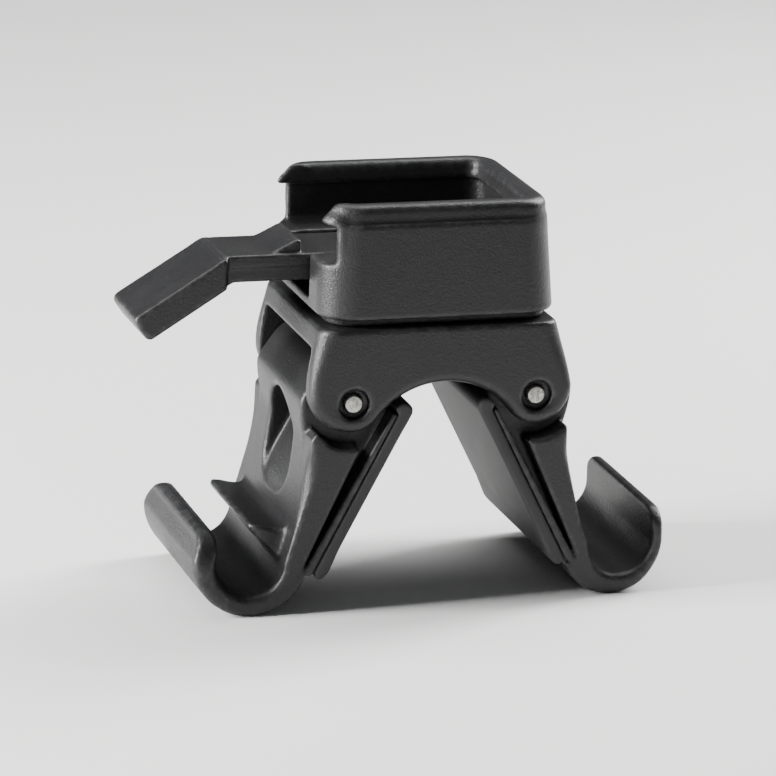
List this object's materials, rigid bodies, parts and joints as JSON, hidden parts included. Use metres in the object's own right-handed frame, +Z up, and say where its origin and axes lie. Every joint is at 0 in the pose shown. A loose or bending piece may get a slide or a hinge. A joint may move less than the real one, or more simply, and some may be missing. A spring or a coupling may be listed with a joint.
{
  "type": "cleat horn clamp mount",
  "caption": "Clamp mount for a rail: a quick-release channel shoe with a thumb latch on a saddle, and two hinged legs with rubber pads that end in upturned strap horns.",
  "frame": {"origin": "on the surface that the two horns stand on, under the middle of the whole object's box", "axes": "+Z up, from the horns to the shoe; +X from the latch lever's open end to the shoe's closed end; -Y towards the front, along the hinge pins"},
  "size_m": [0.095, 0.038, 0.0724],
  "materials": {
    "black_nylon": "moulded black glass-filled nylon, satin, with a fine grain",
    "black_rubber": "black moulded rubber, matte",
    "pin_steel": "plain steel pin, sheared and speckled end",
    "spring_steel": "drawn spring wire",
    "screw_steel": "zinc-plated steel"
  },
  "bodies": {
    "mount_body": {"saddle": "black_nylon", "shoe": "black_nylon", "left_hinge_pin": "pin_steel", "right_hinge_pin": "pin_steel", "latch_pivot_pin": "pin_steel", "latch_spring": "spring_steel", "shoe_screw_front_left": "screw_steel", "shoe_screw_front_right": "screw_steel", "shoe_screw_back_left": "screw_steel", "shoe_screw_back_right": "screw_steel"},
    "left_leg_body": {"left_leg": "black_nylon", "left_pad": "black_rubber"},
    "right_leg_body": {"right_leg": "black_nylon", "right_pad": "black_rubber"},
    "latch_body": {"latch_lever": "black_nylon"}
  },
  "joints": [
    {"name": "left_leg_hinge", "type": "hinge", "parent": "mount_body", "child": "left_leg_body", "pos_m": [-0.01086, 0, 0.0375], "axis": [0, 1, 0], "range_deg": [0, 35]},
    {"name": "right_leg_hinge", "type": "hinge", "parent": "mount_body", "child": "right_leg_body", "pos_m": [0.02234, 0, 0.0375], "axis": [0, -1, 0], "range_deg": [0, 35]},
    {"name": "latch_press", "type": "hinge", "parent": "mount_body", "child": "latch_body", "pos_m": [0.00274, 0, 0.0593], "axis": [0, -1, 0], "range_deg": [0, 6.5], "stiffness_Nm_per_rad": 1.5, "springref_deg": -5.73, "deforming": ["latch_spring"]}
  ]
}
